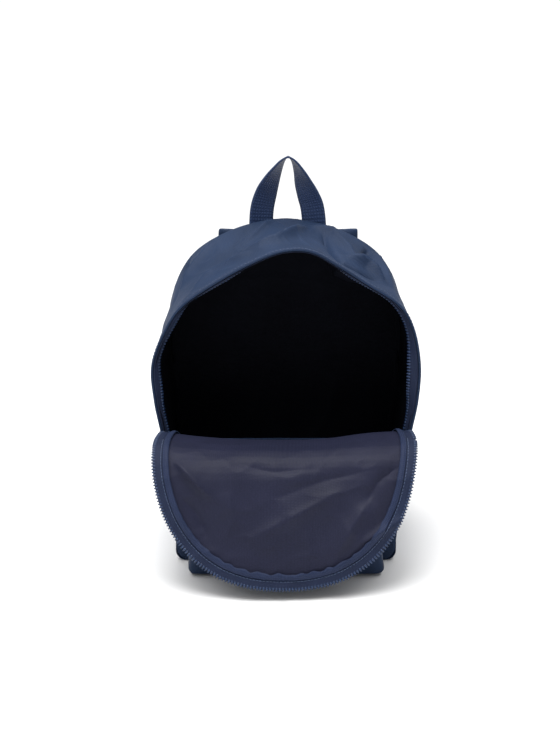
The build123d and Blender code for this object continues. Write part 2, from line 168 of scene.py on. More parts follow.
# Places across and up, from the left foot over the top to the right foot.
BACK_OUTLINE = [(-129.5, 24), (-137, 90), (-142.5, 152), (-145, 200), (-144.5, 250), (-137, 292),
                (-120, 327), (-95, 350), (-55, 369), (-14, 378), (14, 378), (55, 369), (95, 350),
                (120, 327), (137, 292), (144.5, 250), (145, 200), (142.5, 152), (137, 90), (129.5, 24)]
RIM_OUTLINE = [(-129.5, 24), (-136, 90), (-143.5, 152), (-151, 196), (-152.5, 239), (-136, 281), (-118, 307),
               (-88, 329), (-45, 354), (-6, 370), (28, 370), (58, 354), (91, 333), (127, 309), (144, 281),
               (152.5, 239), (151, 196), (143.5, 152), (136, 90), (129.5, 24)]


def along(points, share):
    """The place at a share from 0 to 1 of the way along the smooth curve through the points."""
    last = len(points) - 1
    place = min(max(share, 0.0), 1.0) * last
    k = min(int(place), last - 1)
    t = place - k
    near = [points[min(max(k + j, 0), last)] for j in (-1, 0, 1, 2)]
    return tuple(
        0.5 * (2 * b + (c - a) * t + (2 * a - 5 * b + 4 * c - d) * t * t + (3 * b - a - 3 * c + d) * t ** 3)
        for a, b, c, d in zip(*near)
    )


def near_line(x, y, points):
    """Signed distance from (x, y) to a line of points, positive on its left, and the share along it."""
    best = (1e9, 0.0, 1.0)
    count = len(points) - 1
    for k in range(count):
        (ax, ay), (bx, by) = points[k], points[k + 1]
        dx, dy = bx - ax, by - ay
        t = min(max(((x - ax) * dx + (y - ay) * dy) / (dx * dx + dy * dy), 0.0), 1.0)
        away = hypot(x - ax - t * dx, y - ay - t * dy)
        if away < best[0]:
            best = (away, (k + t) / count, 1.0 if dx * (y - ay) - dy * (x - ax) > 0 else -1.0)
    return best[0] * best[2], best[1]


def fold_height(x, y, points, height, left, right):
    """A fold in cloth along a line: its height at (x, y), where left and right say how far it spreads."""
    away, share = near_line(x, y, points)
    reach = left if away > 0 else right
    return height * exp((1.2 - hypot(away, 1.2)) / (0.7 * reach)) * min(1.0, 4 * share * (1 - share) + 0.15)


# Folds of the slumped top: a line of (distance round the arch, distance back from the rim), height, spreads.
FOLD_DEPTH = 2.3  # this cloth is limp, so each fold is that many times its height in the list
TOP_FOLDS = [
    ([(475, 146), (448, 118), (415, 84)], 2.4, 3.5, 16),
    ([(540, 120), (510, 78), (472, 48), (446, 40), (406, 46)], 6.0, 12, 4),
    ([(545, 132), (510, 78), (472, 48)], 1.6, 3, 3),
    ([(432, 32), (402, 38), (378, 38), (340, 26)], 3.6, 9, 6),
    ([(566, 116), (578, 64), (592, 38), (620, 38), (654, 44)], -6.5, 3.5, 7),
    ([(548, 130), (578, 122), (600, 94), (616, 66)], 4.4, 10, 6),
    ([(642, 134), (638, 112), (628, 84)], -7.0, 7, 8),
    ([(598, 60), (632, 64), (664, 50)], 6.0, 8, 5),
    ([(652, 132), (664, 108), (682, 46)], 4.0, 7, 14),
    ([(700, 130), (712, 90), (716, 50)], -2.2, 12, 18),
    ([(740, 130), (752, 100), (744, 50)], 1.0, 12, 18),
    ([(392, 142), (350, 108), (298, 70)], 3.2, 10, 22),
    ([(330, 146), (290, 110), (262, 60)], -2.6, 14, 12),
    ([(240, 130), (216, 90), (222, 50)], 0.9, 14, 18),
]


def toe(z):
    """How far the empty bag's lower front bulges forwards of its seam."""
    return 5 * exp(-(z / 26) ** 2)


def crumple(x, y, size, seed):
    """Fine sharp creases, as woven cloth keeps after it has been crushed."""
    return (1 - abs(noise.noise(Vector((x / size, y / size, seed))))) ** 7


def slump(share, back):
    """How far the gusset stands out of true, at a share round the arch and a distance back."""
    round_arch = share * 1000
    top = exp(-((share - 0.5) / 0.2) ** 2)
    depth = back / DEPTH
    out = -7 * 4 * depth * (1 - depth) * top
    held = min(1.0, max(back, 0.0) / 22) * min(1.0, (DEPTH - back) / 8)
    for line, height, left, right in TOP_FOLDS:
        out += held * fold_height(round_arch, back, line, FOLD_DEPTH * height, left, right)
    out += held * 1.8 * noise.noise(Vector((round_arch / 60, back / 45, 3.0)))
    out += held * (0.6 + 0.8 * top) * crumple(round_arch + back * 0.7, back - round_arch * 0.3, 52, 2.0)
    return out


def gusset_place(share, back, out):
    """A place on the gusset: share round the arch, distance back from the rim, and distance outwards."""
    depth = back / DEPTH
    rim, seam = along(RIM_OUTLINE, share), along(BACK_OUTLINE, share)
    step = 0.004
    rim2, seam2 = along(RIM_OUTLINE, share + step), along(BACK_OUTLINE, share + step)
    rim1, seam1 = along(RIM_OUTLINE, share - step), along(BACK_OUTLINE, share - step)
    dx = (rim2[0] - rim1[0]) * (1 - depth) + (seam2[0] - seam1[0]) * depth
    dz = (rim2[1] - rim1[1]) * (1 - depth) + (seam2[1] - seam1[1]) * depth
    size = hypot(dx, dz)
    out += slump(share, back)
    x = rim[0] * (1 - depth) + seam[0] * depth - out * dz / size
    z = rim[1] * (1 - depth) + seam[1] * depth + out * dx / size
    return Vector((x, FRONT + back - toe(z) * (1 - depth), z))


def cloth_sheet(name, columns, rows, place, width, length):
    """A sheet on a grid: place takes two shares and gives millimetres. The UV map is in metres of cloth."""
    bm = bmesh.new()
    bmesh.ops.create_grid(bm, x_segments=columns, y_segments=rows, size=0.5, calc_uvs=True)
    cloth_uv = bm.loops.layers.uv.verify()
    for face in bm.faces:
        face.smooth = True
        for loop in face.loops:
            corner = loop.vert.co
            loop[cloth_uv].uv = ((corner.x + 0.5) * width / 1000, (corner.y + 0.5) * length / 1000)
    for vert in bm.verts:
        vert.co = place(vert.co.x + 0.5, vert.co.y + 0.5)
    bmesh.ops.scale(bm, vec=(0.001, 0.001, 0.001), verts=bm.verts)
    return keep_mesh(bm, name)


def stood(place, forward, side):
    """The frame of a small block in millimetres: its X runs forward and its Y to the side."""
    forward = forward.normalized()
    out = forward.cross(side).normalized()
    turn = Matrix((forward, out.cross(forward), out)).transposed().to_4x4()
    return Matrix.Translation(place / 1000) @ turn @ Matrix.Scale(0.001, 4)


def row_along(edge, inner, pitch):
    """Frames a pitch apart along the curve edge, each with its Y towards the curve inner."""
    count = 700
    spots = [edge(k / count) for k in range(count + 1)]
    frames = []
    wait = pitch / 2
    for k in range(count):
        run = spots[k + 1] - spots[k]
        while wait < run.length:
            share = wait / run.length
            side = inner((k + share) / count) - edge((k + share) / count)
            frames.append(stood(spots[k] + run * share, run, side))
            wait += pitch
        wait -= run.length
    return frames


def blocks(name, frames, parts):
    """The same few rounded blocks at every frame. A part is (middle, size, rounding), in millimetres."""
    bm = bmesh.new()
    for middle, size, rounding in parts:
        place = Matrix.Translation(middle) @ Matrix.Diagonal((*size, 1))
        block = bmesh.ops.create_cube(bm, size=1, matrix=place)["verts"]
        edges = list({edge for vert in block for edge in vert.link_edges})
        bmesh.ops.bevel(bm, geom=edges, offset=rounding, segments=1, affect="EDGES", profile=0.5,
                        material=-1)
    for face in bm.faces:
        face.smooth = True
    one = bpy.data.meshes.new(name)
    bm.to_mesh(one)
    bm.free()
    row = bmesh.new()
    for frame in frames:
        made = len(row.verts)
        row.from_mesh(one)
        row.verts.ensure_lookup_table()
        bmesh.ops.transform(row, matrix=frame, verts=row.verts[made:])
    return keep_mesh(row, name)


STITCH = [((0, 0, 0), (3.0, 0.75, 0.7), 0.28)]


def sew_on(piece, finish, slot, *nodes, body="bag"):
    """Gives a piece its material and its body, and hides the nodes that it stands for. The slot is not used.
    """
    piece.data.materials.append(finish)
    if body:
        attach(piece, body)
    if nodes:
        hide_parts(*nodes)


def thicken(piece, thickness, offset=-1.0, rim=True):
    """Gives a sheet its thickness in millimetres: offset -1 grows it behind its faces, 1 in front."""
    solid = piece.modifiers.new("thickness", "SOLIDIFY")
    solid.thickness = thickness / 1000
    solid.offset = offset
    solid.use_rim = rim


def soften(piece):
    """One round of subdivision."""
    smooth = piece.modifiers.new("smooth", "SUBSURF")
    smooth.levels = 1
    smooth.render_levels = 1


def add_node(material, kind, settings, inputs):
    """Adds a node: settings are its own properties, and inputs its sockets, a value or another's output."""
    node = material.node_tree.nodes.new(kind)
    for key, value in settings.items():
        setattr(node, key, value)
    for key, value in inputs.items():
        if isinstance(value, bpy.types.NodeSocket):
            material.node_tree.links.new(value, node.inputs[key])
        else:
            node.inputs[key].default_value = value
    return node


WAVE = 3.1831  # bands of a wave texture in one unit, at a scale of 1


def woven(name, code, shade, thread, bump, roughness, sheen, axes="UV", tone=0.14, gloss=0.2):
    """Woven cloth: warp and weft cross as waves a thread apart, in millimetres, drawn coarser than real
    threads so that they show. Slow noise varies the dye, fine noise is fuzz, and tone darkens the gaps."""
    material = bpy.data.materials.new(name)
    material.use_nodes = True
    shader = material.node_tree.nodes["Principled BSDF"]
    place = add_node(material, "ShaderNodeTexCoord", {}, {}).outputs[axes]
    waves = []
    for direction in ("X", "Y", "Z")[:2 if axes == "UV" else 3]:
        settings = {"wave_type": "BANDS", "bands_direction": direction, "wave_profile": "SIN"}
        inputs = {"Vector": place, "Scale": 1000 / thread / 2 / WAVE, "Distortion": 0.6, "Detail": 1.0}
        waves.append(add_node(material, "ShaderNodeTexWave", settings, inputs).outputs["Fac"])
    weave = waves[0]
    for wave in waves[1:]:
        both = {0: weave, 1: wave}
        weave = add_node(material, "ShaderNodeMath", {"operation": "MULTIPLY"}, both).outputs[0]
    slow = add_node(material, "ShaderNodeTexNoise", {}, {"Vector": place, "Scale": 18.0, "Detail": 9.0})
    fine = add_node(material, "ShaderNodeTexNoise", {}, {"Vector": place, "Scale": 900.0, "Detail": 2.0})
    added = add_node(material, "ShaderNodeMath", {"operation": "ADD"},
                     {0: slow.outputs["Fac"], 1: fine.outputs["Fac"]})
    ramp = add_node(material, "ShaderNodeMapRange", {},
                    {"Value": added.outputs[0], "From Min": 0.6, "From Max": 1.4})
    dye = add_node(material, "ShaderNodeMix", {"data_type": "RGBA"},
                   {"Factor": ramp.outputs[0], "A": linear(shade), "B": linear(code)}).outputs["Result"]
    gaps = add_node(material, "ShaderNodeMapRange", {}, {"Value": weave, "To Min": 1 - tone, "To Max": 1.0})
    color = add_node(material, "ShaderNodeMix", {"data_type": "RGBA", "blend_type": "MULTIPLY"},
                     {"Factor": 1.0, "A": dye, "B": gaps.outputs[0]}).outputs["Result"]
    rise = add_node(material, "ShaderNodeMath", {"operation": "MULTIPLY_ADD"},
                    {0: fine.outputs["Fac"], 1: 0.5, 2: weave}).outputs[0]
    bumps = add_node(material, "ShaderNodeBump", {},
                     {"Height": rise, "Distance": bump / 1000, "Strength": 0.9})
    material.node_tree.links.new(color, shader.inputs["Base Color"])
    material.node_tree.links.new(bumps.outputs[0], shader.inputs["Normal"])
    shader.inputs["Roughness"].default_value = roughness
    shader.inputs["Specular IOR Level"].default_value = gloss
    shader.inputs["Sheen Weight"].default_value = sheen
    shader.inputs["Sheen Roughness"].default_value = 0.45
    shader.inputs["Sheen Tint"].default_value = linear("#8fa3c8")
    return material


# Dull navy polyester in a plain weave, coated on the back. Its 600 denier threads are about 0.6 mm apart and
# drawn 1 mm apart: the eye gets a faint even grain and a matt face.
outer_cloth = woven("navy 600 denier polyester, plain weave", "#223554", "#182841", 1.0, 0.25, 0.62, 0.06)


def gusset_surface(across, up):
    """Up runs from the end of the turned-in hem, round the rim's edge and back to the seam."""
    roll, hem = 1.3, 9.0
    q = up * (DEPTH + hem + pi * roll) - hem - pi * roll
    if q >= 0:
        out = -0.5 * exp(-((q - 7.5) / 1.2) ** 2)
        return gusset_place(across, q, out)
    if q > -pi * roll:
        turn = -q / roll
        return gusset_place(across, roll * (1 - sin(turn)), -roll * (1 - cos(turn)))
    return gusset_place(across, -q - pi * roll + roll, -2 * roll)


gusset = cloth_sheet("side_gusset_cloth", 430, 96, gusset_surface, 1000, 163)
thicken(gusset, 0.9)
sew_on(gusset, outer_cloth, "outer_fabric", "side_gusset")

# Bonded polyester sewing thread, a shade lighter than the cloth, with a soft sheen.
thread = bpy.data.materials.new("navy bonded polyester thread, twisted")
thread.use_nodes = True
thread_shader = thread.node_tree.nodes["Principled BSDF"]
thread_place = add_node(thread, "ShaderNodeTexCoord", {}, {}).outputs["Object"]
thread_tone = add_node(thread, "ShaderNodeTexNoise", {}, {"Vector": thread_place, "Scale": 160.0})
thread_mix = add_node(thread, "ShaderNodeMix", {"data_type": "RGBA"},
                      {"Factor": thread_tone.outputs["Fac"], "A": linear("#293b5b"), "B": linear("#3c5279")})
thread.node_tree.links.new(thread_mix.outputs["Result"], thread_shader.inputs["Base Color"])
thread_shader.inputs["Roughness"].default_value = 0.5
thread_shader.inputs["Sheen Weight"].default_value = 0.3

hem_line = row_along(lambda t: gusset_place(0.05 + 0.9 * t, 7.5, 0.1),
                     lambda t: gusset_place(0.05 + 0.9 * t, 9.5, 0.1), 4.2)
hem_stitches = blocks("rim_hem_stitches", hem_line, STITCH)
sew_on(hem_stitches, thread, "outer_fabric")

# ----------------------------------------------------------------------
# Base: the same cloth carried under the bag and turned up at both sides, where it is seamed to the gusset.
# The empty bag stands on it with its corners pressed round.
# ----------------------------------------------------------------------
BASE_HALF = 129.5
CORNER = 12.0


def base_surface(across, up):
    """Across runs down the left side, along the underside and up the right; up runs from front to back."""
    flat = 2 * (BASE_HALF - CORNER)
    arc = CORNER * pi / 2
    side = BASE_TOP + 0.3 - CORNER
    place = abs(across - 0.5) * (flat + 2 * arc + 2 * side) - flat / 2
    turn = min(max(place / CORNER, 0), pi / 2)
    x = BASE_HALF - CORNER + min(place, 0) + CORNER * sin(turn)
    lift = max(0.0, 0.6 + 0.9 * noise.noise(Vector((x / 50, up * 3, 8.0)))) * (1 - turn / (pi / 2))
    z = CORNER * (1 - cos(turn)) + max(0.0, place - arc) + lift
    return Vector((x if across > 0.5 else -x, FRONT + up * DEPTH - toe(z) * (1 - up), z))


base = cloth_sheet("base_cloth", 90, 30, base_surface, 290, 150)
thicken(base, 1.0, 1.0)
sew_on(base, outer_cloth, "outer_fabric", "base_panel")

# ----------------------------------------------------------------------
# Front flap: outer cloth and lining laid together, bent over the pocket. Every layer of it, and its zip,
# is laid out flat first and then draped by one rule, so that the layers stay together.
# ----------------------------------------------------------------------
FLAP_HALF = 149.0
FLAP_MIDDLE = -3.0
ARCH_FROM = 30.0
ARCH_HEIGHT = 176.0
ARCH_POWER = 2 / 2.4
CREASE = 60.0


def flap_half_width(s):
    """Half width of the flap, out to the tips of its teeth, at a distance s from the fold."""
    if s >= ARCH_FROM:
        return FLAP_HALF * max(0.0, 1 - ((s - ARCH_FROM) / ARCH_HEIGHT) ** 2.4) ** (1 / 2.4)
    return FLAP_HALF - 6.0 * (1 - s / ARCH_FROM) ** 2 if s > 0 else FLAP_HALF - 6.0 + 0.7 * s


FLAP_FOLD_DEPTH = 1.45
FLAP_FOLDS = [
    ([(-122, 62), (-100, 84), (-80, 104)], 4.6, 5, 11),
    ([(-116, 100), (-96, 122), (-84, 150)], -3.0, 9, 9),
    ([(-40, 150), (10, 124), (70, 92)], 3.6, 18, 10),
    ([(-20, 108), (30, 88), (96, 72)], -2.6, 12, 12),
    ([(58, 168), (76, 134), (96, 104)], 3.8, 12, 8),
    ([(136, 124), (112, 138), (84, 154)], 4.4, 5, 8),
    ([(128, 66), (104, 88), (88, 118)], -3.6, 12, 9),
    ([(-70, 160), (-56, 128), (-60, 96)], 2.2, 10, 14),
    ([(-60, 62), (-10, 74), (40, 68)], -2.0, 8, 12),
    ([(20, 190), (30, 160), (20, 138)], 2.4, 10, 14),
]


def flap_line(x, s):
    """Where the flap's middle lies, back and up, at a place across and a distance from the fold."""
    edge = min(1.0, abs(x) / 143)
    fold = (FRONT - 2.0, 150.5 + 11 * edge ** 2.5 + 5 * exp(-((x - 96) / 42) ** 2))
    crease = (FRONT - 60.0, 148.0 + 1.5 * edge)
    tip = (FRONT - 110.0, 9.0)
    if s < 0:
        return fold[0], fold[1] + s
    if s < CREASE:
        t = s / CREASE
        return fold[0] + (crease[0] - fold[0]) * t, fold[1] + (crease[1] - fold[1]) * t
    size = hypot(tip[0] - crease[0], tip[1] - crease[1])
    t = (s - CREASE) / size
    return crease[0] + (tip[0] - crease[0]) * t, crease[1] + (tip[1] - crease[1]) * t


def flap_place(x, s, height):
    """Drapes the flat flap: x across, s from the fold, height above its middle on the lining's side."""
    reach = 8 + 16 * min(max((s - 8) / 36, 0), 1)
    spots = [flap_line(x, s + reach * k / 3) for k in (-3, -2, -1, 0, 1, 2, 3)]
    y = sum(p[0] for p in spots) / 7
    z = sum(p[1] for p in spots) / 7
    run = hypot(spots[6][0] - spots[0][0], spots[6][1] - spots[0][1])
    ty, tz = (spots[6][0] - spots[0][0]) / run, (spots[6][1] - spots[0][1]) / run
    for line, rise, left, right in FLAP_FOLDS:
        height += fold_height(x, s, line, FLAP_FOLD_DEPTH * rise, left, right)
    loose = min(max((s - 5) / 60, 0), 1)
    height += loose * 3.0 * noise.noise(Vector((x / 75, s / 55, 1.7)))
    height += loose * 1.2 * noise.noise(Vector((x / 24, s / 30, 5.1)))
    height += loose * 1.0 * crumple(x + s * 0.6, s - x * 0.3, 40, 8.0)
    return Vector((x + FLAP_MIDDLE * min(1, max(s, 0) / 80), y + height * tz, z - height * ty))


def flap_sheet(name, inset, height, s_from, s_to, columns, rows):
    """A layer of the flap, inset from the tips of its teeth. With s_to None it reaches the arched edge."""
    half = FLAP_HALF - inset

    def place(across, up):
        turn = (across - 0.5) * pi
        arch_x = half * abs(sin(turn)) ** ARCH_POWER
        last = s_to
        if s_to is None:
            last = ARCH_FROM + (ARCH_HEIGHT - inset) * abs(cos(turn)) ** ARCH_POWER
        s = s_from + (last - s_from) * up
        if s < ARCH_FROM:
            arch_x *= (flap_half_width(s) - inset) / half
        return flap_place(arch_x if turn > 0 else -arch_x, s, height)

    return cloth_sheet(name, columns, rows, place, 2 * half, ARCH_HEIGHT if s_to is None else s_to - s_from)


# Thin lining, a dark violet navy that is a little smoother than the outer cloth.
lining_cloth = woven("violet navy polyester lining, plain weave",
                     "#25273e", "#1a1c2e", 0.9, 0.12, 0.55, 0.1, tone=0.1, gloss=0.18)
FOLD_SEAM = 24.0  # where the strip over the fold meets the rest of the flap
FOLD_FROM = -22.0


def over_crease(piece, *nodes):
    """Bakes the piece's transform into its mesh and hides the named nodes."""
    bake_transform(piece)
    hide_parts(*nodes)


def over_fold(piece, *nodes):
    """Bakes the piece's transform into its mesh and hides the named nodes."""
    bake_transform(piece)
    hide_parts(*nodes)


flap_inside = flap_sheet("flap_lining_cloth", 15, 1.2, FOLD_SEAM, None, 150, 100)
thicken(flap_inside, 0.6, rim=False)
over_crease(flap_inside, "flap_lining", "flap_root_lining")
sew_on(flap_inside, lining_cloth, "lining_fabric", body=None)

flap_outside = flap_sheet("flap_outer_cloth", 13, -0.6, FOLD_SEAM, None, 120, 90)
thicken(flap_outside, 1.0, 1.0)
over_crease(flap_outside, "flap_panel", "flap_root_panel")
sew_on(flap_outside, outer_cloth, "outer_fabric", body=None)

fold_inside = flap_sheet("flap_fold_lining", 15, 1.2, FOLD_FROM, FOLD_SEAM, 150, 30)
thicken(fold_inside, 0.6, rim=False)
over_fold(fold_inside)
sew_on(fold_inside, lining_cloth, "lining_fabric", body=None)

fold_outside = flap_sheet("flap_fold_outer", 13, -0.6, FOLD_FROM, FOLD_SEAM, 120, 20)
thicken(fold_outside, 1.0, 1.0)
over_fold(fold_outside)
sew_on(fold_outside, outer_cloth, "outer_fabric", body=None)

# Between the flap's teeth and its seam lies the zip's tape, and over the seam a narrow binding, which the
# machine has drawn in so that its free edge waves.
TEETH = 4.0
TAPE = 13.0


def flap_edge(t, inset, height):
    """A place on the line that runs inset from the tips of the teeth, from left to right round the arch."""
    straight = 0.02
    if t < straight or t > 1 - straight:
        s = FOLD_SEAM + (ARCH_FROM - FOLD_SEAM) * min(t, 1 - t) / straight
        half = flap_half_width(s) - inset
        return flap_place(-half if t < 0.5 else half, s, height)
    turn = ((t - straight) / (1 - 2 * straight) - 0.5) * pi
    x = (FLAP_HALF - inset) * abs(sin(turn)) ** ARCH_POWER
    s = ARCH_FROM + (ARCH_HEIGHT - inset) * cos(turn) ** ARCH_POWER
    return flap_place(x if turn > 0 else -x, s, height)


def fold_edge(side, t, inset, height):
    """The same line on one side of the fold strip, from under the fold to where the strip ends."""
    s = -12 + (FOLD_SEAM + 12) * t
    return flap_place(side * (flap_half_width(s) - inset), s, height)


def strip(name, columns, rows, outer, inner, height, line, width, length):
    """A narrow band between two insets of a line. Height gives its rise at a share along and across it."""
    def place(a, u):
        return line(a, outer + (inner(a) - outer) * u, height(a, u))

    return cloth_sheet(name, columns, rows, place, length, width)


# Polyester zip tape in a tight herringbone, duller than the cloth and a shade greyer.
tape_cloth = woven("slate navy polyester zip tape, herringbone",
                   "#242f4c", "#19223a", 0.9, 0.25, 0.65, 0.08, tone=0.25)
# Grosgrain binding, ribbed across, with a soft fuzz.
binding_cloth = woven("slate navy grosgrain binding, ribbed",
                      "#2b3758", "#202a45", 1.2, 0.3, 0.65, 0.1, tone=0.3)


def bind_wave(a):
    """How far in the binding reaches along the flap: it waves most round the tip."""
    tip = exp(-((a - 0.52) / 0.24) ** 2)
    drift = 3.0 * noise.noise(Vector((a * 22, 3, 0)))
    reach = 19.5 + (0.9 + drift * 0.2) * tip * sin(a * 170 + drift)
    return reach + 1.3 * tip * noise.noise(Vector((a * 70, 0, 0)))


def tape_height(a, u):
    return 1.3 + 0.5 * sin(pi * u)


def binding_height(a, u):
    tip = exp(-((a - 0.52) / 0.24) ** 2)
    return 3.0 + 0.9 * sin(pi * u) + u * (0.5 + 1.8 * tip * (0.5 + noise.noise(Vector((a * 64, 5, 0)))))


flap_tape = strip("flap_zip_tape_cloth", 420, 5, TEETH - 2.2, lambda a: TAPE + 2, tape_height, flap_edge,
                  11, 560)
thicken(flap_tape, 0.7, 0.0)
over_crease(flap_tape, "flap_zip_tape", "flap_root_zip_tape")
sew_on(flap_tape, tape_cloth, "zip_tape", body=None)

flap_binding = strip("flap_binding_tape", 420, 7, TAPE, bind_wave, binding_height, flap_edge, 8, 560)
thicken(flap_binding, 1.0, 0.0)
over_crease(flap_binding, "flap_seam_binding", "flap_root_seam_binding")
sew_on(flap_binding, binding_cloth, "binding_tape", body=None)

# Moulded acetal teeth, 3.6 mm apart: a clamp that grips the tape's cord, and a head that meshes.
teeth_plastic = bpy.data.materials.new("navy acetal zip teeth, moulded")
teeth_plastic.use_nodes = True
teeth_shader = teeth_plastic.node_tree.nodes["Principled BSDF"]
teeth_place = add_node(teeth_plastic, "ShaderNodeTexCoord", {}, {}).outputs["Object"]
teeth_noise = add_node(teeth_plastic, "ShaderNodeTexNoise", {}, {"Vector": teeth_place, "Scale": 300.0})
teeth_mix = add_node(teeth_plastic, "ShaderNodeMix", {"data_type": "RGBA"},
                     {"Factor": teeth_noise.outputs["Fac"], "A": linear("#172744"), "B": linear("#2c4166")})
teeth_rough = add_node(teeth_plastic, "ShaderNodeMapRange", {},
                       {"Value": teeth_noise.outputs["Fac"], "To Min": 0.22, "To Max": 0.42})
teeth_plastic.node_tree.links.new(teeth_mix.outputs["Result"], teeth_shader.inputs["Base Color"])
teeth_plastic.node_tree.links.new(teeth_rough.outputs[0], teeth_shader.inputs["Roughness"])

PITCH = 3.6
TOOTH = [((0, 1.3, 0), (2.3, 3.0, 2.9), 0.5), ((0, -0.7, 0), (1.7, 2.0, 2.1), 0.5)]

flap_row = row_along(lambda t: flap_edge(t, 1.8, 0.8), lambda t: flap_edge(t, 6, 0.8), PITCH)
flap_teeth = blocks("flap_zip_teeth_row", flap_row, TOOTH)
over_crease(flap_teeth)
sew_on(flap_teeth, teeth_plastic, "zip_teeth", "flap_zip_teeth", "flap_root_zip_teeth", body=None)

flap_seam = row_along(lambda t: flap_edge(t, TAPE - 2.0, 2.2), lambda t: flap_edge(t, TAPE, 2.2), 3.8)
flap_seam_stitches = blocks("flap_seam_stitches", flap_seam, STITCH)
over_crease(flap_seam_stitches)
sew_on(flap_seam_stitches, thread, "zip_tape", body=None)

for word, side in (("left", -1), ("right", 1)):
    fold_tape = strip(f"{word}_fold_zip_tape", 16, 5, TEETH - 2.2, lambda a: TAPE + 2, tape_height,
                      lambda a, i, h: fold_edge(side, a, i, h), 11, 36)
    thicken(fold_tape, 0.7, 0.0)
    over_fold(fold_tape)
    sew_on(fold_tape, tape_cloth, "zip_tape", body=None)
    fold_binding = strip(f"{word}_fold_binding", 16, 7, TAPE, lambda a: 19.5, binding_height,
                         lambda a, i, h: fold_edge(side, a, i, h), 8, 36)
    thicken(fold_binding, 1.0, 0.0)
    over_fold(fold_binding)
    sew_on(fold_binding, binding_cloth, "binding_tape", body=None)
    fold_row = row_along(lambda t: fold_edge(side, t, 1.8, 0.8), lambda t: fold_edge(side, t, 6, 0.8), PITCH)
    fold_teeth = blocks(f"{word}_fold_zip_teeth", fold_row, TOOTH)
    over_fold(fold_teeth)
    sew_on(fold_teeth, teeth_plastic, "zip_teeth", body=None)

# ----------------------------------------------------------------------
# The rim's half of the main zip, sewn inside the gusset's turned-in edge. Its tape leans inwards and back.
# ----------------------------------------------------------------------
RIM_FROM, RIM_TO = 0.105, 0.895


def rim_lean(share):
    """Angle in radians at which the tape turns back into the bag. Low on the right it lies flatter."""
    waves = 9 * noise.noise(Vector((share * 14, 2.0, 0))) + 4 * sin(share * 60)
    top = exp(-((share - 0.5) / 0.2) ** 2)
    return radians(62 + 26 * top - 38 * exp(-((share - 0.8) / 0.05) ** 2) + waves)


def rim_edge(t, inset, height):
    """A place on the rim's zip: inset runs over the tape from the gusset's edge, height to the front."""
    share = RIM_FROM + (RIM_TO - RIM_FROM) * t
    lean = rim_lean(share)
    inward = gusset_place(share, 1.5, -5) - gusset_place(share, 1.5, -2)
    inward.normalize()
    back = Vector((0, 1, 0))
    run = inward * cos(lean) + back * sin(lean)
    up = inward * sin(lean) - back * cos(lean)
    return gusset_place(share, 1.2, -3.4) + run * inset + up * height


rim_tape = strip("rim_zip_tape_cloth", 500, 5, 0.0, lambda a: 10.5, lambda a, u: 0.0, rim_edge, 10.5, 900)
thicken(rim_tape, 0.7, 0.0)
sew_on(rim_tape, tape_cloth, "zip_tape", "rim_zip_tape")

rim_row = row_along(lambda t: rim_edge(t, 11.6, 0), lambda t: rim_edge(t, 8, 0), PITCH)
rim_teeth = blocks("rim_zip_teeth_row", rim_row, TOOTH)
sew_on(rim_teeth, teeth_plastic, "zip_teeth", "rim_zip_teeth")

# ----------------------------------------------------------------------
# Linings: the same thin violet navy cloth inside the gusset, over the base, and on the padded back, which
# has pulled into soft creases. Inside the bag this cloth is drawn far darker than on the flap: painted
# shade, for the shade that fills the deep inside. The seams inside are bound with grosgrain, drawn in the
# same painted-shade colour.
# ----------------------------------------------------------------------
FOOT = [(0, 0.6), (-60, 0.6), (-112, 0.8), (-120.5, 3.6), (-127, 10)]


def half_table(points):
    """Heights and half widths up the left of an outline, from the base to the crown."""
    table = []
    for k in range(401):
        x, z = along(FOOT + points[:10], k / 400)
        if not table or z > table[-1][0]:
            table.append((z, -x))
    return table


def half_at(table, z):
    for (z0, x0), (z1, x1) in zip(table, table[1:]):
        if z <= z1:
            return x0 + (x1 - x0) * (z - z0) / (z1 - z0)
    return table[-1][1]


BACK_HALVES = half_table(BACK_OUTLINE)
FRONT_HALVES = half_table(RIM_OUTLINE)


def panel_place(halves, low, high, inset, depth, across, up):
    """A place on an upright panel that fills the outline: depth gives its Y from x and z."""
    z = low + (high - low) * sin(up * pi / 2)
    half = half_at(halves, min(z + inset, halves[-1][0])) - inset
    x = (across * 2 - 1) * half
    return Vector((x, depth(x, z), z))


# Painted shade: the flap's lining cloth with its colour made near black and its gloss taken away, standing
# in for the shade deep inside the bag.
shaded_lining_cloth = woven("dark navy polyester lining, plain weave",
                    "#10121a", "#0a0b11", 0.9, 0.2, 0.7, 0.0, gloss=0.04)
BACK_CREASES = [
    ([(-120, 215), (-40, 222), (60, 214), (124, 222)], 2.2, 5, 9),
    ([(-110, 300), (-20, 308), (80, 300)], 1.2, 6, 9),
    ([(-96, 70), (-52, 120), (-20, 190)], 2.2, 7, 12),
    ([(10, 60), (52, 130), (70, 200)], 2.4, 8, 14),
    ([(96, 60), (110, 120), (104, 190)], 1.8, 7, 12),
]


def back_lining_depth(x, z):
    rise = sum(fold_height(x, z, line, height, a, b) for line, height, a, b in BACK_CREASES)
    return 65.6 - rise - 1.6 * noise.noise(Vector((x / 40, z / 40, 4)))


back_inside = cloth_sheet("back_lining_cloth", 90, 110,
                          lambda a, u: panel_place(BACK_HALVES, 3.5, 369, 6, back_lining_depth, a, u),
                          290, 375)
thicken(back_inside, 0.6)
sew_on(back_inside, shaded_lining_cloth, "lining_fabric", "back_lining", "back_foam")


def body_lining_surface(across, up):
    """Hangs a little inside the gusset and sags away from it in shallow waves."""
    back = 3 + (DEPTH - 15) * up
    waves = 1.4 * noise.noise(Vector((across * 20, back / 30, 6)))
    return gusset_place(across, back, -4.6 - waves)


body_inside = cloth_sheet("body_lining_cloth", 220, 40, body_lining_surface, 900, 138)
thicken(body_inside, 0.6, 1.0)
sew_on(body_inside, shaded_lining_cloth, "lining_fabric", "body_lining")


